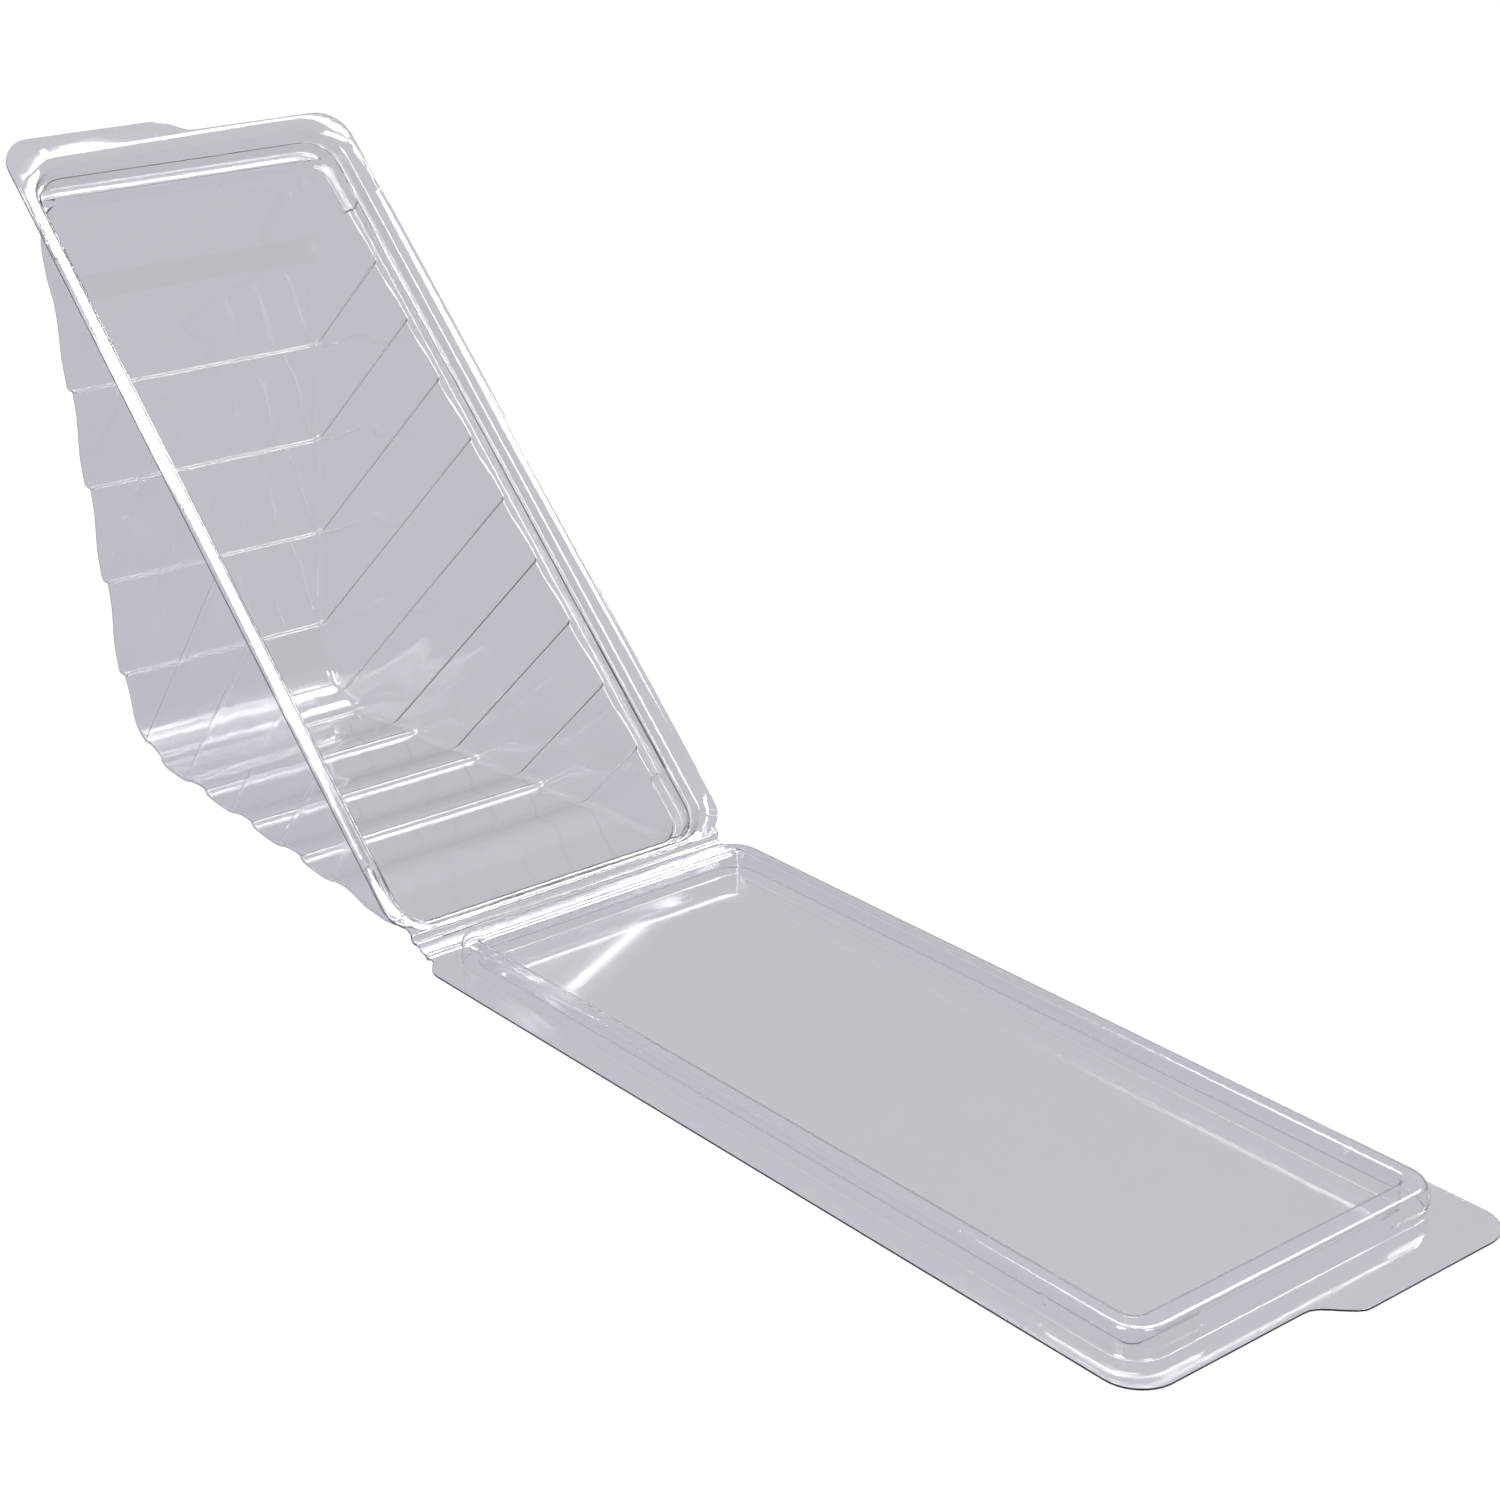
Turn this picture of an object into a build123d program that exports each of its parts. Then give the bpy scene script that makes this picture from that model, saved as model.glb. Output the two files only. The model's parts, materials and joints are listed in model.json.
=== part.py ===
# A deep wedge pack for a cut sandwich: one clear sheet formed into a ribbed
# tray and a hinged lid. The pack stands on the tray's floor wall and is open,
# with the lid laid out in front of it. The origin is on the face the tray
# stands on, +X runs along the hinge and the lid lies towards -Y.
from build123d import *
from math import asin, atan2, cos, hypot, radians, sin, tan
import os

quarter_turn = 90
half_turn = 180

# Sheet and hinge, in millimetres and degrees
sheet = 0.4
closing_gap = 0.3
fold_gap = 0.3
hinge_height = 2.0
strip_half_width = 36.6
opening_slope = 44.0
back_slope = 43.6

# Rims, measured from the fold line
rim_half_width = 40.0
rim_end = 186.8
rim_corner = 7.0
tray_rim_start = 3.9
tray_tab_end = 190.2
lid_rim_start = 3.4
lid_tab_end = 192.4
tab_shoulder = 4.0
tab_corner = 6.0

# Half-round beads along the fold, below the sheet
tray_bead_from_fold = 2.7
tray_bead_radius = 0.8
lid_bead_from_fold = 2.0
lid_bead_radius = 0.5

# Mouth of the tray: a drafted seat for the lid's plug, then a ledge
mouth_start = 5.0
mouth_end = 182.5
mouth_half_width = 36.2
mouth_corner = 7.2
seat_depth = 3.0
seat_draft = 0.4
ledge_depth = 5.7
plug_clearance = 0.4
pocket_starts = (7.5, 165.0)
pocket_length = 13.8
pocket_depth = 7.0

# Plug of the lid: a hollow ring that stands up from it
plug_start = 6.1
plug_end = 181.2
plug_half_width = 34.6
plug_corner = 5.9
plug_height = 5.2
panel_start = 9.7
panel_end = 176.6
panel_half_width = 30.9
panel_corner = 2.2
lug_reach = 0.6
lug_start = 163.0
lug_half_gap = 22.0
lug_height = 2.6

# Body of the tray below the ledge, given by its outer faces
body_start = 7.0
body_end = 179.0
body_half_width = 34.2
body_plan_corner = 6.0
body_edge = 2.0
side_draft = 6.1
back_from_fold = 191.0
apex_radius = 18.0

# Bands pressed inwards round the body, square to the mouth
rib_depth = 1.4
side_rib_depth = 0.5
rib_pitch = 15.375
rib_width = 7.8
first_rib_start = 20.5
rib_count = 10
stand_rib = 2

# A face counts as a leg wall when it leans this far towards the depth
leg_lean_share = 0.5

slope = radians(opening_slope)
back = radians(back_slope)
face_drop = closing_gap / 2
sheet_back = face_drop + sheet

# The origin lies under the flat band that comes before the stand rib
stand_band = first_rib_start + stand_rib * rib_pitch - (rib_pitch - rib_width) / 2
stand_from_hinge = stand_band / cos(slope) + hinge_height * tan(slope)
fold = (0, -stand_from_hinge, hinge_height)

# The lid tips down until the end of its tab touches the table
tab_reach = hypot(lid_tab_end, sheet_back)
droop = asin(hinge_height / tab_reach) - atan2(sheet_back, lid_tab_end)

along_mouth = (0, cos(slope), sin(slope))
out_of_tray = (0, -sin(slope), cos(slope))
into_tray = (0, sin(slope), -cos(slope))
tray_face = Plane(origin=fold, x_dir=along_mouth, z_dir=out_of_tray)
tray_well = Plane(origin=fold, x_dir=along_mouth, z_dir=into_tray).offset(face_drop)
tray_side = Plane(origin=fold, x_dir=along_mouth, z_dir=(1, 0, 0))
tray_end = Plane(origin=fold, x_dir=(-1, 0, 0), z_dir=along_mouth)

along_lid = (0, -cos(droop), -sin(droop))
up_from_lid = (0, -sin(droop), cos(droop))
lid_face = Plane(origin=fold, x_dir=along_lid, z_dir=up_from_lid)
lid_side = Plane(origin=fold, x_dir=along_lid, z_dir=(-1, 0, 0))


def rounded(start, end, half_width, corner):
    """A rounded rectangle that runs from start to end along the pack."""
    with Locations(((start + end) / 2, 0)):
        RectangleRounded(end - start, 2 * half_width, corner)


def rim(face, start, tab_end):
    """The flat rim of the tray or the lid, its tab and its half of the fold."""
    with BuildPart() as plate:
        with BuildSketch(face.offset(-sheet_back)):
            rounded(start, rim_end, rim_half_width, rim_corner)
            with BuildLine():
                inside = rim_end - rim_corner
                foot = Line((inside, -tab_shoulder), (rim_end, -tab_shoulder))
                step = Spline(
                    foot @ 1,
                    (tab_end, tab_shoulder),
                    tangents=((0, 1), (0, 1)),
                )
                edge = Line(step @ 1, (tab_end, rim_half_width - tab_corner))
                turn = JernArc(edge @ 1, edge % 1, tab_corner, quarter_turn)
                Polyline(turn @ 1, (inside, rim_half_width), foot @ 0)
            make_face()
            strip_start = fold_gap / 2
            strip_end = start + rim_corner
            with Locations(((strip_start + strip_end) / 2, 0)):
                Rectangle(strip_end - strip_start, 2 * strip_half_width)
        extrude(amount=sheet)
    return plate.part


def bead(side, from_fold, radius):
    """A half-round bar along the fold, under the face of the sheet."""
    with BuildPart() as bar:
        with BuildSketch(side):
            with BuildLine():
                arc = CenterArc((from_fold, -face_drop), radius, half_turn, half_turn)
                Line(arc @ 1, arc @ 0)
            make_face()
        extrude(amount=strip_half_width, both=True)
    return bar.part


def mouth(skin):
    """The space of the seat, the ledge and the pockets, grown by the skin."""
    with BuildPart() as space:
        for depth, draft in ((0, 0), (seat_depth + skin, seat_draft)):
            with BuildSketch(tray_well.offset(depth)):
                rounded(
                    mouth_start + draft - skin,
                    mouth_end - draft + skin,
                    mouth_half_width - draft + skin,
                    mouth_corner - draft + skin,
                )
        loft()
        with BuildSketch(tray_well.offset(seat_depth)):
            gap = plug_clearance + skin
            rounded(plug_start - gap, plug_end + gap, plug_half_width + gap, plug_corner + gap)
        extrude(amount=ledge_depth - seat_depth + skin)
        with BuildSketch(tray_well.offset(seat_depth)):
            for start in pocket_starts:
                with Locations((start + pocket_length / 2, 0)):
                    Rectangle(pocket_length + 2 * skin, 2 * rim_half_width)
            with BuildSketch(mode=Mode.INTERSECT):
                rounded(
                    mouth_start + seat_draft - skin,
                    mouth_end - seat_draft + skin,
                    mouth_half_width - seat_draft + skin,
                    mouth_corner - seat_draft + skin,
                )
        extrude(amount=pocket_depth - seat_depth + skin)
    return space.part


def wedge(leg_inset, side_inset, skin):
    """The body as a plain wedge, its walls set in and grown by the skin."""
    leg = leg_inset + sheet - skin
    side = side_inset + sheet - skin
    floor_foot = (leg - hinge_height) / sin(slope)
    back_foot = back_from_fold - leg / sin(back)
    apex = (back_foot * tan(back) + floor_foot * tan(slope)) / (tan(back) + tan(slope))
    apex_depth = (apex - floor_foot) * tan(slope)
    top = face_drop + ledge_depth
    half = body_half_width - side
    foot = half - (apex_depth - top) * tan(radians(side_draft))
    with BuildPart() as body:
        with BuildSketch(tray_end):
            with BuildLine():
                Polyline((-half, -top), (half, -top), (foot, -apex_depth), (-foot, -apex_depth), close=True)
            make_face()
        extrude(amount=back_from_fold)
        with BuildSketch(tray_side):
            with BuildLine():
                Polyline((floor_foot, 0), (apex, -apex_depth), (back_foot, 0), close=True)
            tip = make_face().vertices().sort_by(Axis.Y)[0]
            fillet(tip, apex_radius + skin)
        extrude(amount=rim_half_width, both=True, mode=Mode.INTERSECT)
        depth = Vector(into_tray)
        legs = body.faces().filter_by(lambda wall: wall.normal_at().dot(depth) > leg_lean_share)
        fillet(legs.edges().filter_by(Axis.X, reverse=True), body_edge + skin)
        with BuildSketch(tray_well.offset(ledge_depth)):
            rounded(body_start + side, body_end - side, half, body_plan_corner - side)
        extrude(amount=apex_depth, mode=Mode.INTERSECT)
    return body.part


def ribbed_body(skin):
    """The body with its inward bands, grown by the skin."""
    with BuildPart() as body:
        add(wedge(0, 0, skin))
        with BuildSketch(tray_well):
            for rib in range(rib_count):
                middle = first_rib_start + rib * rib_pitch + rib_width / 2
                with Locations((middle, 0)):
                    Rectangle(rib_width - 2 * skin, 2 * rim_half_width)
        extrude(amount=back_from_fold, mode=Mode.SUBTRACT)
        add(wedge(rib_depth, side_rib_depth, skin))
    return body.part


def plug(skin):
    """The plug ring and its lugs, drawn in by the skin from every side."""
    foot = -sheet_back
    with BuildPart() as ring:
        with BuildSketch(lid_face.offset(foot)):
            rounded(plug_start + skin, plug_end - skin, plug_half_width - skin, plug_corner - skin)
        extrude(amount=plug_height + sheet - skin)
        with BuildSketch(lid_face.offset(foot)):
            reach = lug_reach - skin
            with Locations(((lug_start + rim_end) / 2, 0)):
                Rectangle(rim_end - lug_start - 2 * skin, 2 * rim_half_width)
            with Locations((rim_end, 0)):
                inner_gap = 2 * (lug_half_gap + skin)
                Rectangle(2 * (rim_end - plug_end + plug_corner), inner_gap, mode=Mode.SUBTRACT)
            with BuildSketch(mode=Mode.INTERSECT):
                rounded(plug_start - reach, plug_end + reach, plug_half_width + reach, plug_corner + reach)
        extrude(amount=lug_height + sheet - skin)
        with BuildSketch(lid_face.offset(foot)):
            rounded(
                panel_start - skin,
                panel_end + skin,
                panel_half_width + skin,
                panel_corner + skin,
            )
        extrude(amount=plug_height + sheet, mode=Mode.SUBTRACT)
    return ring.part


with BuildPart() as tray:
    add(rim(tray_face, tray_rim_start, tray_tab_end))
    add(bead(tray_side, tray_bead_from_fold, tray_bead_radius + sheet))
    add(mouth(sheet))
    add(ribbed_body(sheet))
    add(bead(tray_side, tray_bead_from_fold, tray_bead_radius), mode=Mode.SUBTRACT)
    add(mouth(0), mode=Mode.SUBTRACT)
    add(ribbed_body(0), mode=Mode.SUBTRACT)

with BuildPart() as lid:
    add(rim(lid_face, lid_rim_start, lid_tab_end))
    add(bead(lid_side, lid_bead_from_fold, lid_bead_radius + sheet))
    add(plug(0))
    add(bead(lid_side, lid_bead_from_fold, lid_bead_radius), mode=Mode.SUBTRACT)
    add(plug(sheet), mode=Mode.SUBTRACT)

os.makedirs("parts", exist_ok=True)
tray.part.label = "tray"
lid.part.label = "lid"
export_step(tray.part, "parts/tray.step")
export_step(lid.part, "parts/lid.step")
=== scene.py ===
import json
import math

import bmesh
import bpy
from mathutils import Matrix, Vector


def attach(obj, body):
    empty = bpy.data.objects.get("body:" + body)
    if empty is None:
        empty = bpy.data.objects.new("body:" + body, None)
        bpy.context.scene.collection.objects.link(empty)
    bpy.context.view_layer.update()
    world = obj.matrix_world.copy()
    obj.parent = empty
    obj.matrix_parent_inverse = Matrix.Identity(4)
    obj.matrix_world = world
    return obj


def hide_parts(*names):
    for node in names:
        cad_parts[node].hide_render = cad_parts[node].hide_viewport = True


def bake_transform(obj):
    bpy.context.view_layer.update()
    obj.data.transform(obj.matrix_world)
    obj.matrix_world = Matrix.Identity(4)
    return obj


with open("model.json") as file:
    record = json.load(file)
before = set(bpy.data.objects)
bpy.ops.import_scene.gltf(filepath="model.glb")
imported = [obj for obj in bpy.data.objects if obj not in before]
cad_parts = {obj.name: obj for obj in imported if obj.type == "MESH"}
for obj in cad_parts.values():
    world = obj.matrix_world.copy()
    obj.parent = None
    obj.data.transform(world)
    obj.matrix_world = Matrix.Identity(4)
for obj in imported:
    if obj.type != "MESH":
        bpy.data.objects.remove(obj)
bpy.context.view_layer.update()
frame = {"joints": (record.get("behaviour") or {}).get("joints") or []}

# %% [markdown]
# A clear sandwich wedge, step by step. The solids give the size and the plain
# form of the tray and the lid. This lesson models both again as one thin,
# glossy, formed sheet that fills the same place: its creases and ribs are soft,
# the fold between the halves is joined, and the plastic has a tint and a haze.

MM = 0.001

# %% [markdown]
# Shader maths reads best as plain expressions. This small class wraps one
# output socket, so that adding or multiplying two of them makes the Math node
# for it. Every other node is made by one method of the board, which sets what
# the node is first and joins or fills its inputs after that.


# %% Shader arithmetic
class Signal:
    def __init__(self, board, socket):
        self.board = board
        self.socket = socket

    def join(self, operation, other, swap=False):
        values = (other, self) if swap else (self, other)
        return self.board.node("ShaderNodeMath", {"operation": operation}, values)[0]

    def __add__(self, other):
        return self.join("ADD", other)

    def __radd__(self, other):
        return self.join("ADD", other, swap=True)

    def __sub__(self, other):
        return self.join("SUBTRACT", other)

    def __rsub__(self, other):
        return self.join("SUBTRACT", other, swap=True)

    def __mul__(self, other):
        return self.join("MULTIPLY", other)

    def __rmul__(self, other):
        return self.join("MULTIPLY", other, swap=True)

    def highest(self, other):
        return self.join("MAXIMUM", other)


class Board:
    def __init__(self, tree):
        self.tree = tree
        tree.nodes.clear()

    def node(self, kind, settings=None, values=None):
        """One node: its settings first, then the values or links of its inputs."""
        made = self.tree.nodes.new(kind)
        for name, value in (settings or {}).items():
            setattr(made, name, value)
        pairs = values.items() if isinstance(values, dict) else enumerate(values or ())
        for key, value in pairs:
            if isinstance(value, Signal):
                self.tree.links.new(value.socket, made.inputs[key])
            else:
                made.inputs[key].default_value = value
        return [Signal(self, output) for output in made.outputs]


def new_material(name):
    material = bpy.data.materials.new(name)
    material.use_nodes = True
    return material, Board(material.node_tree)


# %% [markdown]
# The sheet is clear plastic with a faint lilac cast. A formed sheet is never
# as flat as glass: it carries a fine haze from the mould and long soft waves
# where it was stretched. Both are noise on Object coordinates: the haze feeds
# the roughness, and the waves feed a weak bump, so the edges stay crisp.

# %% Clear sheet
SHEET_TINT = (0.972, 0.968, 0.985, 1.0)
SHEET_INDEX = 1.5
HAZE = {"Scale": 120.0, "Detail": 3.0}
HAZE_SHARE = 0.08
CLEAREST = 0.02
WAVES = {"Scale": 12.0, "Detail": 0.0}
WAVE_STRENGTH = 0.04
WAVE_HEIGHT = 0.0005
OBJECT_COORDINATES = 3


def clear_sheet():
    material, board = new_material("clear_formed_sheet")
    place = board.node("ShaderNodeTexCoord")[OBJECT_COORDINATES]
    waves = board.node("ShaderNodeTexNoise", None, {"Vector": place, **WAVES})[0]
    haze = board.node("ShaderNodeTexNoise", None, {"Vector": place, **HAZE})[0]
    relief = {"Strength": WAVE_STRENGTH, "Distance": WAVE_HEIGHT, "Height": waves}
    bump = board.node("ShaderNodeBump", None, relief)[0]
    surface = {
        "Base Color": SHEET_TINT,
        "Roughness": haze * HAZE_SHARE + CLEAREST,
        "IOR": SHEET_INDEX,
        "Transmission Weight": 1.0,
        "Normal": bump,
    }
    shader = board.node("ShaderNodeBsdfPrincipled", None, surface)[0]
    board.node("ShaderNodeOutputMaterial", None, [shader])
    print(material.name, "has", len(board.tree.nodes), "nodes")
    return material


plastic = clear_sheet()

# %% [markdown]
# A formed sheet starts flat and is drawn into a mould, and its creases are soft
# because the sheet can't bend sharply. So each half is modelled as one skin
# with no thickness, in its own flat frame: x runs away from the fold, y along
# it and z out of the sheet's face, all in millimetres.

# %% The two flat frames
SLOPE = math.radians(44.0)
DROOP = math.radians(0.4318)
FOLD = Vector(frame["joints"][0]["pos_m"])
FACE = -0.15


def flat_frame(along, outwards):
    """A matrix from millimetres beside the fold to metres in the object's frame."""
    across = outwards.cross(along)
    turn = Matrix((along, across, outwards)).transposed()
    return Matrix.Translation(FOLD) @ turn.to_4x4() @ Matrix.Scale(MM, 4)


TRAY_FRAME = flat_frame(
    Vector((0, math.cos(SLOPE), math.sin(SLOPE))),
    Vector((0, -math.sin(SLOPE), math.cos(SLOPE))),
)
LID_FRAME = flat_frame(
    Vector((0, -math.cos(DROOP), -math.sin(DROOP))),
    Vector((0, -math.sin(DROOP), math.cos(DROOP))),
)
print("the fold is at", list(FOLD))

# %% [markdown]
# The rims, the seat, the body and the plug are all rounded rectangles, given
# here as start, end, half width and corner. One helper makes such a loop from a
# single grid face and rounds its corners with a vertex bevel. A wall is a stack
# of these loops, bridged one to the next. Its rounded edges are arcs in the
# stack's section, which is safer than a bevel on the bridged wall.

# %% Loops and stacks
CORNER_STEPS = 10


def rounded_loop(form, plan, offset, height):
    start, end, half, corner = plan
    verts = bmesh.ops.create_grid(form, x_segments=1, y_segments=1, size=0.5)["verts"]
    size = (end - start + 2 * offset, 2 * (half + offset), 1)
    bmesh.ops.scale(form, verts=verts, vec=size)
    bmesh.ops.translate(form, verts=verts, vec=((start + end) / 2, 0, height))
    others = set(form.faces) - set(verts[0].link_faces)
    bmesh.ops.bevel(
        form,
        geom=verts,
        offset=corner + offset,
        offset_type="OFFSET",
        segments=CORNER_STEPS,
        profile=0.5,
        affect="VERTICES",
        material=-1,
    )
    face = (set(form.faces) - others).pop()
    edges = list(face.edges)
    bmesh.ops.delete(form, geom=[face], context="FACES_ONLY")
    return edges


def arc(centre, radius, first, last, steps=4):
    """The points of an arc in a section, as pairs of offset and height."""
    angles = [math.radians(first + (last - first) * step / steps) for step in range(steps + 1)]
    return [(centre[0] + radius * math.cos(a), centre[1] + radius * math.sin(a)) for a in angles]


def stack(form, plan, section):
    """Bridge the loops of a section. Gives the first loop, the last, the faces."""
    loops = [rounded_loop(form, plan, offset, height) for offset, height in section]
    faces = []
    for upper, lower in zip(loops, loops[1:]):
        faces += bmesh.ops.bridge_loops(form, edges=upper + lower)["faces"]
    return loops[0], loops[-1], faces


# %% [markdown]
# Between two stacks lies a flat with a hole in it. A bridge would twist there,
# because both loops are in one plane, so a triangle fill makes it. A plane can
# cut chosen faces where a form must be free to move its points afterwards.


# %% Flats, cuts and soft steps
TOUCH = 0.001
CUT_TOUCH = 0.0001


def flat(form, outer, inner=()):
    edges = list(outer) + list(inner)
    bmesh.ops.triangle_fill(form, use_beauty=True, edges=edges, normal=(0, 0, 1))


def unique(items):
    """Each item once, in the order given, so that every run cuts alike."""
    return list(dict.fromkeys(items))


def points(parts):
    """The points of some edges or faces."""
    return unique(vert for part in parts for vert in part.verts)


def cut(form, faces, place, way):
    """Cut some faces by a plane. Gives the faces as they are after the cut."""
    edges = unique(edge for face in faces for edge in face.edges)
    geom = list(faces) + edges + points(edges)
    made = bmesh.ops.bisect_plane(form, geom=geom, plane_co=place, plane_no=way, dist=CUT_TOUCH)
    return [item for item in made["geom"] if isinstance(item, bmesh.types.BMFace)]


def smooth(value):
    value = min(max(value, 0.0), 1.0)
    return value * value * (3 - 2 * value)


def away(point, plan):
    """The direction out of a rounded rectangle, in its own plane."""
    start, end, half, corner = plan
    x = min(max(point.x, start + corner), end - corner)
    y = min(max(point.y, corner - half), half - corner)
    return Vector((point.x - x, point.y - y, 0)).normalized()


# %% [markdown]
# Both rims have an opening tab on one half of the far end, joined to the plain
# edge by an S-shaped step. The far edge is cut finely, and its points are slid
# outwards by a smooth step. At the fold the rim narrows to the hinge strip.

# %% Rims with their tabs
RIM_END = 186.8
RIM_HALF = 40.0
RIM_CORNER = 7.0
FAR_EDGE_CUTS = 48
TAB_SHOULDER = 4.0
STRIP_HALF = 36.6
STRIP_START = 1.0


def rim_outline(form, start, tab_end):
    plan = (start, RIM_END, RIM_HALF, RIM_CORNER)
    edges = rounded_loop(form, plan, 0, FACE)
    far = [edge for edge in edges if all(vert.co.x > RIM_END - TOUCH for vert in edge.verts)]
    others = set(form.edges) - set(edges)
    bmesh.ops.subdivide_edges(form, edges=far, cuts=FAR_EDGE_CUTS)
    edges = [edge for edge in form.edges if edge not in others]
    for vert in points(edges):
        if vert.co.x > RIM_END - RIM_CORNER - TOUCH:
            share = smooth((vert.co.y + TAB_SHOULDER) / (2 * TAB_SHOULDER))
            vert.co.x += share * (tab_end - RIM_END)
        elif abs(vert.co.y) <= STRIP_HALF and vert.co.x < start + RIM_CORNER:
            vert.co.x = STRIP_START
            vert.co.y = math.copysign(STRIP_HALF, vert.co.y)
    bmesh.ops.remove_doubles(form, verts=points(edges), dist=TOUCH)
    return [edge for edge in form.edges if edge not in others]


# %% [markdown]
# A half-round bead runs along each side of the fold and stiffens the rim there.
# Cuts at even angles of the half circle give it its points, and each point
# between them sinks to the circle, so the bead needs no loop of its own.

# %% Hinge beads
BEAD_STEPS = 4


def press_bead(form, middle, radius):
    for step in range(-BEAD_STEPS, BEAD_STEPS + 1):
        reach = radius * math.sin(math.radians(step * 90 / BEAD_STEPS))
        cut(form, list(form.faces), (middle + reach, 0, 0), (1, 0, 0))
    for vert in form.verts:
        reach = abs(vert.co.x - middle)
        if reach < radius and abs(vert.co.z - FACE) < TOUCH:
            vert.co.z -= math.sqrt(radius**2 - reach**2)


# %% [markdown]
# The finished skin is moved to its place on the object, and a Solidify modifier
# gives it its gauge. A fine Bevel takes the knife edge off the cut outline, so
# that it glints. Weighted normals keep the broad areas flat, so only the soft
# creases bend the light.

# %% Skin to piece
GAUGE = 0.35
TRIM = 0.1
TRIM_ANGLE = math.radians(60)


def add_modifiers(piece):
    gauge = piece.modifiers.new("Gauge", "SOLIDIFY")
    gauge.thickness = GAUGE * MM
    gauge.offset = -1
    trim = piece.modifiers.new("Cut edges", "BEVEL")
    trim.width = TRIM * MM
    trim.segments = 2
    trim.limit_method = "ANGLE"
    trim.angle_limit = TRIM_ANGLE
    even = piece.modifiers.new("Flat areas stay flat", "WEIGHTED_NORMAL")
    even.mode = "FACE_AREA"
    even.weight = 100


def finish_skin(form, name, place):
    bmesh.ops.remove_doubles(form, verts=form.verts, dist=TOUCH)
    bmesh.ops.recalc_face_normals(form, faces=form.faces)
    largest = max(form.faces, key=lambda face: face.calc_area())
    if largest.normal.z < 0:
        bmesh.ops.reverse_faces(form, faces=form.faces)
    bmesh.ops.transform(form, matrix=place, verts=form.verts)
    rim = [edge for edge in form.edges if edge.is_boundary]
    print(name, "faces:", len(form.faces), "edges of the cut outline:", len(rim))
    mesh = bpy.data.meshes.new(name)
    form.to_mesh(mesh)
    form.free()
    mesh.materials.append(plastic)
    mesh.shade_smooth()
    piece = bpy.data.objects.new(name, mesh)
    bpy.context.scene.collection.objects.link(piece)
    add_modifiers(piece)
    return piece


# %% [markdown]
# Near its far corners the lid's ring swells into low snap lugs that hold it in
# the tray. They could be pieces of their own, but in the mould they are part of
# the wall. So the wall is cut round each lug and then across it, and only the
# points inside the cuts are pushed out.

# %% Snap lugs
PLUG = (6.1, 181.2, 34.6, 5.9)
LUG_START = 163.0
LUG_GAP = 22.0
LUG_REACH = 0.65
LUG_EASE = 2.5
LUG_FOOT = FACE + 0.4
LUG_TOP = FACE + 4.3
LUG_CUTS = 5


def push_lugs(form, faces):
    shares = [step / LUG_CUTS for step in range(LUG_CUTS + 1)]
    for share in shares:
        height = LUG_FOOT + share * (LUG_TOP - LUG_FOOT)
        faces = cut(form, faces, (0, 0, height), (0, 0, 1))
        faces = cut(form, faces, (LUG_START - share * LUG_EASE, 0, 0), (1, 0, 0))
        for side in (-1, 1):
            faces = cut(form, faces, (0, side * (LUG_GAP - share * LUG_EASE), 0), (0, 1, 0))
    for vert in points(faces):
        rise = min(max((vert.co.z - LUG_FOOT) / (LUG_TOP - LUG_FOOT), 0), 1)
        along = smooth((vert.co.x - LUG_START) / LUG_EASE + 1)
        across = smooth((abs(vert.co.y) - LUG_GAP) / LUG_EASE + 1)
        bulge = along * across * math.sin(math.pi * rise) ** 2
        vert.co += away(vert.co, PLUG) * LUG_REACH * bulge


# %% [markdown]
# The lid is a flat panel inside a hollow ring that plugs into the tray. The
# ring's outer and inner walls are two stacks, joined by a flat crest.

# %% Lid
PANEL = (9.7, 176.6, 30.9, 2.2)
PLUG_TOP = FACE + 5.2
RING_ROUND = 0.9
RING_STEPS = 5
FOOT_ROUND = 0.5
LID_START = 3.4
LID_TAB_END = 192.4
LID_BEAD = (2.0, 0.5)


def make_lid():
    form = bmesh.new()
    round_top = PLUG_TOP - RING_ROUND
    outer = arc((FOOT_ROUND, FACE + FOOT_ROUND), FOOT_ROUND, 270, 180)
    outer += arc((-RING_ROUND, round_top), RING_ROUND, 0, 90, RING_STEPS)
    inner = arc((RING_ROUND, round_top), RING_ROUND, 90, 180, RING_STEPS)
    inner += arc((-FOOT_ROUND, FACE + FOOT_ROUND), FOOT_ROUND, 0, -90)
    foot, crest, wall = stack(form, PLUG, outer)
    inner_crest, inner_foot, _ = stack(form, PANEL, inner)
    flat(form, rim_outline(form, LID_START, LID_TAB_END), foot)
    flat(form, crest, inner_crest)
    flat(form, inner_foot)
    push_lugs(form, wall)
    press_bead(form, *LID_BEAD)
    lid = finish_skin(form, "lid_sheet", LID_FRAME)
    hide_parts("lid")
    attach(lid, "lid")


make_lid()

# %% [markdown]
# Bands are pressed into the wedge to stiffen it. A band has one sharp riser and
# one soft ramp. The riser faces the mouth, so it comes first on the floor leg,
# and last on the back leg and the sides. Each band is given as where it goes
# in, where it comes out again and how deep it is, measured from its own start.

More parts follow.
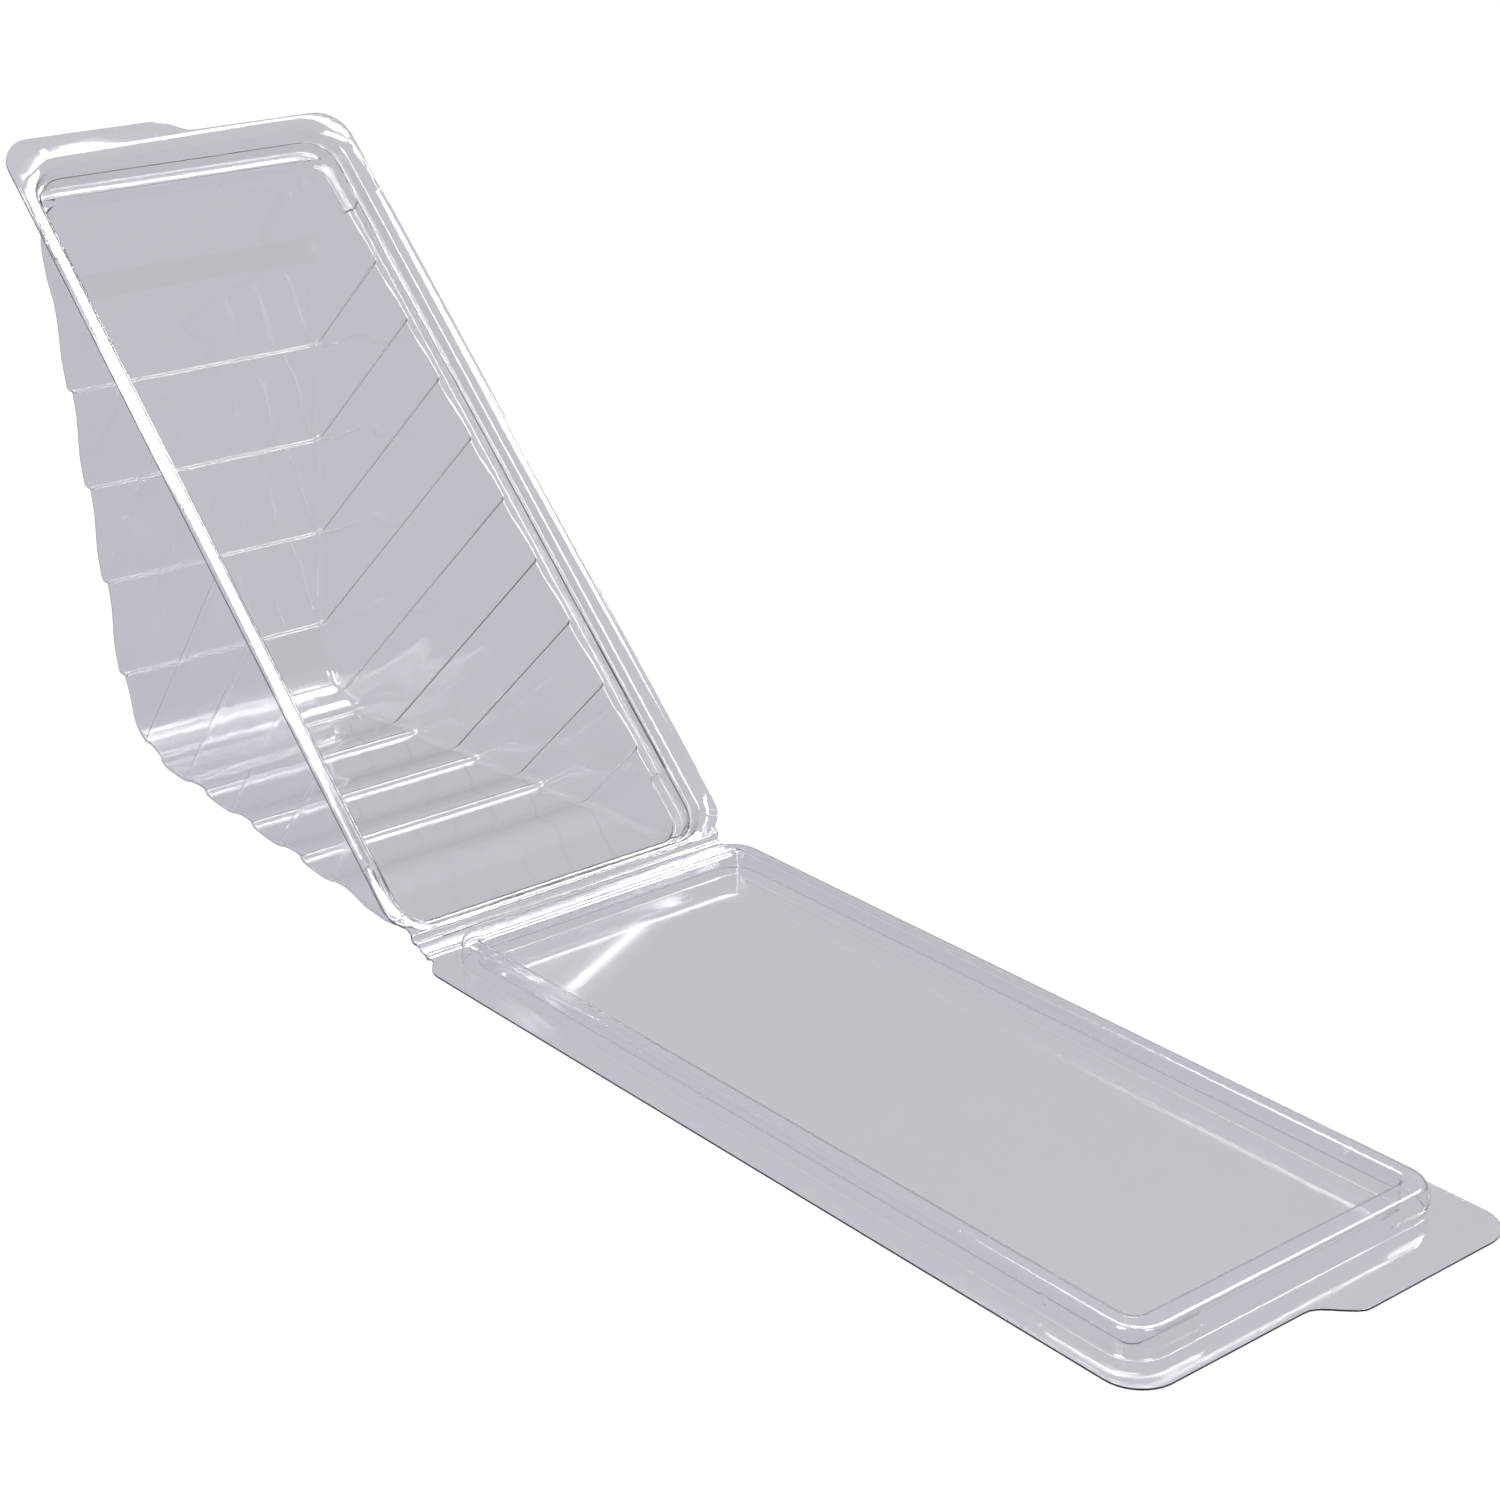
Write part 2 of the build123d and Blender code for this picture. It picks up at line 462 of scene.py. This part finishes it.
# %% Ribs
RIB_PITCH = 15.375
RIB_STARTS = [20.5 + RIB_PITCH * rib for rib in range(10)]
FLOOR_BAND = ((1.0, 2.8), (4.0, 10.5), 1.0)
BACK_BAND = ((-3.5, 4.3), (6.9, 8.7), 1.4)
SOFT_BAND = ((-3.5, 4.3), (4.8, 10.8), 0.8)
SIDE_BAND = ((-3.5, 4.3), (7.3, 8.3), 0.5)
LAST_SIDE_BAND = ((-3.5, 4.3), (4.8, 10.8), 0.3)
LEG_BANDS = [SOFT_BAND] + 4 * [FLOOR_BAND] + 4 * [BACK_BAND] + [SOFT_BAND]
SIDE_BANDS = 9 * [SIDE_BAND] + [LAST_SIDE_BAND]
print(len(LEG_BANDS), "bands on the legs and", len(SIDE_BANDS), "on the sides")


def pressed_in(u, bands):
    """How far the bands press the wall in, at a distance from the fold."""
    depth = 0.0
    for start, (way_in, way_out, full) in zip(RIB_STARTS, bands):
        for (first, last), sign in ((way_in, full), (way_out, -full)):
            depth += sign * smooth((u - start - first) / (last - first))
    return depth


# %% [markdown]
# The tray's two legs meet in a round apex. Seen from the side, that is two
# straight lines and an arc that touches both, so the depth below the mouth is
# plain school geometry, and the ribs only move the two lines inwards.

# %% Depth of the wedge
BACK_SLOPE = math.radians(43.6)
HINGE_HEIGHT = 2.0
BACK_FROM_FOLD = 191.0
APEX_RADIUS = 18.0
WALL = 0.4


def leg_lines(inset):
    """Where the two legs, set in, would meet the face of the tray."""
    floor = (inset - HINGE_HEIGHT) / math.sin(SLOPE)
    return floor, BACK_FROM_FOLD - inset / math.sin(BACK_SLOPE)


def leg_depth(u):
    inset = WALL + pressed_in(u, LEG_BANDS)
    floor, back = leg_lines(inset)
    floor_in, back_in = leg_lines(inset + APEX_RADIUS)
    rise, fall = math.tan(SLOPE), math.tan(BACK_SLOPE)
    middle = (back_in * fall + floor_in * rise) / (rise + fall)
    if u < middle - APEX_RADIUS * math.sin(SLOPE):
        return (u - floor) * rise
    if u > middle + APEX_RADIUS * math.sin(BACK_SLOPE):
        return (back - u) * fall
    return (middle - floor_in) * rise + math.sqrt(APEX_RADIUS**2 - (u - middle) ** 2)


# %% [markdown]
# The tray's body starts as a bucket of stacked loops with a flat bottom. Its
# height stands for the way down its wall: 0 at the ledge, 1 where the wall
# starts, 2 where it ends and 3 on the leg. Cuts across it mark the ribs. Then
# pressing turns that height into a real depth, and draws the sides in by their
# draft. Sculpting each rib as a solid would take far more steps.

# %% Body
BODY = (7.4, 178.6, 33.8, 5.6)
LEDGE = 5.85
LEDGE_ROUND = 0.7
BODY_EDGE = 2.0
SIDE_DRAFT = math.tan(math.radians(6.1))
STATION_SHARES = (0, 0.15, 0.35, 0.65, 0.85, 1)
APEX_CUTS = 6
APEX_SPACING = APEX_RADIUS / 8.5
WALL_LOOPS = 5


def stations():
    """Every distance from the fold at which the body gets a cut."""
    for bands in (LEG_BANDS, SIDE_BANDS):
        for start, band in zip(RIB_STARTS, bands):
            for first, last in band[:2]:
                for share in STATION_SHARES:
                    yield start + first + share * (last - first)
    middle = sum(leg_lines(WALL + APEX_RADIUS)) / 2
    for step in range(-APEX_CUTS, APEX_CUTS + 1):
        yield middle + step * APEX_SPACING


def pressed(point):
    u, across, level = point.x, point.y, -point.z
    bottom = leg_depth(u)
    edge = min(BODY_EDGE, (bottom - LEDGE) / 2)
    top, foot = LEDGE + LEDGE_ROUND, bottom - edge
    if level <= 1:
        depth = LEDGE + LEDGE_ROUND * level
    elif level <= 2:
        depth = top + (foot - top) * (level - 1)
    else:
        depth = foot + edge * (level - 2)
    draft = SIDE_DRAFT * (depth - LEDGE) + pressed_in(u, SIDE_BANDS) * smooth(level)
    return Vector((u, across * (1 - draft / BODY[2]), -depth))


def quarter(steps):
    return [math.radians(90 * step / steps) for step in range(steps + 1)]


def make_body(form):
    section = [(LEDGE_ROUND * (1 - math.sin(a)), -(1 - math.cos(a))) for a in quarter(4)]
    section += [(0, -1 - share / WALL_LOOPS) for share in range(1, WALL_LOOPS)]
    section += [(-BODY_EDGE * (1 - math.cos(a)), -2 - math.sin(a)) for a in quarter(5)]
    _, bottom, faces = stack(form, BODY, section)
    faces += bmesh.ops.contextual_create(form, geom=bottom)["faces"]
    for station in stations():
        faces = cut(form, faces, (station, 0, 0), (1, 0, 0))
    for vert in points(faces):
        vert.co = pressed(vert.co)


# %% [markdown]
# Near both ends the ledge drops into shallow pockets, where the lid's lugs snap
# under the seat. Cuts mark where a pocket eases in and out. Its points sink, and
# the side wall above the ledge moves out a little with them.

# %% Lug pockets
SEAT = (5.7, 181.6, 35.0, 6.3)
SEAT_DEPTH = 3.15
POCKETS = ((7.5, 21.3), (165.0, 178.8))
POCKET_DROP = 1.3
POCKET_REACH = 0.7
POCKET_EASE = 0.6
POCKET_FADE = 4.0
POCKET_FROM = SEAT_DEPTH + 0.2
POCKET_SIDE = SEAT[2] - 1


def pocket_share(u):
    shares = [smooth((u - a) / POCKET_EASE) * smooth((b - u) / POCKET_EASE) for a, b in POCKETS]
    return max(shares)


def press_pockets(form):
    for pocket in POCKETS:
        for edge, way in zip(pocket, (1, -1)):
            for share in (0, 0.5, 1):
                place = (edge + way * share * POCKET_EASE, 0, 0)
                cut(form, list(form.faces), place, (1, 0, 0))
    for vert in form.verts:
        depth = -vert.co.z
        if depth > POCKET_FROM:
            share = pocket_share(vert.co.x)
            vert.co.z -= POCKET_DROP * share * (1 - smooth((depth - LEDGE) / POCKET_FADE))
            if abs(vert.co.y) > POCKET_SIDE:
                vert.co.y += math.copysign(POCKET_REACH * share, vert.co.y)


# %% [markdown]
# Above the body come the ledge, the seat that holds the plug, and the rim. The
# rim slopes to the mouth by 10 degrees, as a sheet pulled over a mould's edge
# does, and that soft shoulder is what catches the broad highlight.

# %% Tray
MOUTH = (5.0, 182.5, 36.2, 7.2)
MOUTH_ROUND = 1.0
MOUTH_STEPS = 5
MOUTH_WALL = [(-0.3, 0.2 - SEAT_DEPTH), (-0.45, -SEAT_DEPTH)]
SEAT_WALL = [(0, -SEAT_DEPTH), (0, 0.3 - LEDGE), (-0.1, 0.1 - LEDGE), (-0.3, -LEDGE)]
SHOULDER = (3.7, 185.3, 39.0, 9.8)
SHOULDER_SLOPE = 10.0
TRAY_START = 3.9
TRAY_TAB_END = 190.2
TRAY_BEAD = (2.7, 0.8)


def make_tray():
    form = bmesh.new()
    make_body(form)
    ledge = [edge for edge in form.edges if edge.is_boundary]
    drop = (SHOULDER[2] - MOUTH[2]) * math.tan(math.radians(SHOULDER_SLOPE))
    centre = (MOUTH_ROUND, FACE - drop - MOUTH_ROUND)
    top = arc(centre, MOUTH_ROUND, 90 + SHOULDER_SLOPE, 180, MOUTH_STEPS)
    mouth, mouth_foot, _ = stack(form, MOUTH, top + MOUTH_WALL)
    seat, seat_foot, _ = stack(form, SEAT, SEAT_WALL)
    shoulder = rounded_loop(form, SHOULDER, 0, FACE)
    flat(form, rim_outline(form, TRAY_START, TRAY_TAB_END), shoulder)
    flat(form, shoulder, mouth)
    flat(form, mouth_foot, seat)
    flat(form, seat_foot, ledge)
    press_pockets(form)
    press_bead(form, *TRAY_BEAD)
    tray = finish_skin(form, "tray_sheet", TRAY_FRAME)
    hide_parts("tray")
    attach(tray, "tray")


make_tray()

# %% [markdown]
# The fold itself is a narrow strip of the same sheet. It bends from one half
# into the other. Its rows lie on a quadratic curve that leaves each half in
# that half's own direction.

# %% Hinge
HINGE_ROWS = 10


def make_hinge():
    first = TRAY_FRAME @ Vector((STRIP_START, 0, FACE))
    last = LID_FRAME @ Vector((STRIP_START, 0, FACE))
    bend = (TRAY_FRAME @ Vector((0, 0, FACE)) + LID_FRAME @ Vector((0, 0, FACE))) / 2
    form = bmesh.new()
    bmesh.ops.create_grid(form, x_segments=1, y_segments=HINGE_ROWS, size=0.5)
    for vert in form.verts:
        share = vert.co.y + 0.5
        place = first * (1 - share) ** 2 + bend * 2 * share * (1 - share) + last * share**2
        vert.co = Vector((vert.co.x * 2 * STRIP_HALF, place.y / MM, place.z / MM))
    hinge = finish_skin(form, "hinge_web", Matrix.Scale(MM, 4))
    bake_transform(hinge)


make_hinge()

# %% [markdown]
# Clear plastic shows what lies behind it. In the photograph the background is
# white, but the studio's pale grey table is seen through the sheet. So the
# floor and the world are white where the camera sees them, and lilac grey where
# they are seen through the plastic or mirrored in it.

# %% What the plastic sees
CAMERA_RAY, GLOSSY_RAY, TRANSMISSION_RAY = 0, 3, 6
MIX_FACTOR, MIX_FIRST, MIX_SECOND, MIX_COLOUR = 0, 6, 7, 2
WHITE = (1.0, 1.0, 1.0, 1.0)
STUDIO_GREY = (0.545, 0.535, 0.575, 1.0)


def stage_light(board, path, colour):
    """White to the camera, the given colour through or in the plastic."""
    inputs = {MIX_FACTOR: path[CAMERA_RAY], MIX_FIRST: colour, MIX_SECOND: WHITE}
    return board.node("ShaderNodeMix", {"data_type": "RGBA"}, inputs)[MIX_COLOUR]


# %% [markdown]
# The floor glows in that colour, which keeps it even out to the horizon. A
# tenth of its own matt colour stays in the camera's view, so that the object
# still has its shadow. It lies a hair under the object, so they never touch.

# %% Floor
FLOOR_HALF = 6.0
FLOOR_DROP = 0.05
FLOOR_MATT = (0.8, 0.8, 0.81, 1.0)
FLOOR_GLOW = 0.9


def floor_material():
    material, board = new_material("studio_floor")
    path = board.node("ShaderNodeLightPath")
    colour = stage_light(board, path, STUDIO_GREY)
    glow = board.node("ShaderNodeEmission", None, [colour, 1.0])[0]
    matt = board.node("ShaderNodeBsdfDiffuse", None, {"Color": FLOOR_MATT})[0]
    seen = path[CAMERA_RAY] * FLOOR_GLOW + path[GLOSSY_RAY].highest(path[TRANSMISSION_RAY])
    mixed = board.node("ShaderNodeMixShader", None, [seen, matt, glow])[0]
    board.node("ShaderNodeOutputMaterial", None, [mixed])
    return material


def floor():
    form = bmesh.new()
    bmesh.ops.create_grid(form, x_segments=1, y_segments=1, size=FLOOR_HALF)
    bmesh.ops.translate(form, verts=form.verts, vec=(0, 0, -FLOOR_DROP * MM))
    mesh = bpy.data.meshes.new("studio_floor")
    form.to_mesh(mesh)
    form.free()
    mesh.materials.append(floor_material())
    ground = bpy.data.objects.new("studio_floor", mesh)
    bpy.context.scene.collection.objects.link(ground)


floor()

# %% [markdown]
# The world is a soft studio: darker near the horizon and lighter overhead. A
# gloss that mirrors this ramp gets darker and lighter along a curve, and that
# is what makes clear walls readable at all.

# %% World
SKY_RAMP = {"From Min": 0.05, "From Max": 0.75, "To Min": 0.28, "To Max": 0.8}
SKY_GREEN = 0.985
SKY_BLUE = 1.03


def sky():
    world = bpy.data.worlds.new("studio")
    world.use_nodes = True
    bpy.context.scene.world = world
    board = Board(world.node_tree)
    way = board.node("ShaderNodeTexCoord")[0]
    height = board.node("ShaderNodeSeparateXYZ", None, [way])[2]
    ramp = board.node("ShaderNodeMapRange", None, {"Value": height, **SKY_RAMP})[0]
    level = board.node("ShaderNodeCombineColor", None, [ramp, ramp * SKY_GREEN, ramp * SKY_BLUE])[0]
    colour = stage_light(board, board.node("ShaderNodeLightPath"), level)
    light = board.node("ShaderNodeBackground", None, [colour, 1.0])[0]
    board.node("ShaderNodeOutputWorld", None, [light])


sky()

# %% [markdown]
# Four softboxes and two strips give the crisp highlights along the creases.
# They are strong but small, so the light on the floor stays plain. Each of them
# stands where one surface mirrors it towards the camera: the strips hang level,
# where the tray's far rim and the end with its tab see them.

# %% Lamps
TARGET = Vector((0, -0.06, 0.04))


def softbox(name, place, size, radiance, tall=None, down=False):
    place = Vector(place)
    way = Vector((0, 0, -1)) if down else TARGET - place
    lamp = bpy.data.lights.new(name, "AREA")
    lamp.shape = "RECTANGLE"
    lamp.size = size
    lamp.size_y = tall or size
    lamp.energy = radiance * math.pi * lamp.size * lamp.size_y
    holder = bpy.data.objects.new(name, lamp)
    holder.location = place
    holder.rotation_euler = way.to_track_quat("-Z", "Y").to_euler()
    bpy.context.scene.collection.objects.link(holder)
    print(name, "gives", round(lamp.energy, 2), "W")


softbox("top_box", (0.58, 0.3, 1.06), 0.56, 16.0)
softbox("left_box", (-1.0, -0.15, 0.72), 0.5, 12.0, tall=0.9)
softbox("right_box", (0.84, -0.14, 0.87), 0.5, 12.0, tall=0.4)
softbox("front_box", (-0.1, -1.2, 1.0), 0.45, 8.0)
softbox("rim_strip", (0.31, -0.33, 1.05), 0.12, 12.0, tall=0.5, down=True)
softbox("tab_strip", (0.53, -0.22, 1.05), 0.17, 10.0, tall=0.12, down=True)

# %% [markdown]
# The camera was solved from the photograph's straight edges. Its frame is
# square, so the focal length in pixels turns straight into a lens length.

# %% Camera
FRAME_PX = 1500
SENSOR_MM = 36.0
FOCAL_PX = 3053.0
CAMERA_PLACE = Vector((-316.48, -504.56, 249.1)) * MM
YAW, PITCH, ROLL = 39.48, -21.91, -0.56


def photo_camera():
    data = bpy.data.cameras.new("photo_camera")
    data.sensor_width = SENSOR_MM
    data.lens = FOCAL_PX / FRAME_PX * SENSOR_MM
    data.clip_start = 0.01
    data.clip_end = 50.0
    camera = bpy.data.objects.new("photo_camera", data)
    yaw = Matrix.Rotation(math.radians(-YAW), 4, "Z")
    tilt = Matrix.Rotation(math.radians(90 + PITCH), 4, "X")
    roll = Matrix.Rotation(math.radians(ROLL), 4, "Z")
    camera.matrix_world = Matrix.Translation(CAMERA_PLACE) @ yaw @ tilt @ roll
    bpy.context.scene.collection.objects.link(camera)
    bpy.context.scene.camera = camera
    print("lens:", round(data.lens, 1), "mm")


photo_camera()
bpy.context.scene.view_settings.view_transform = "Standard"
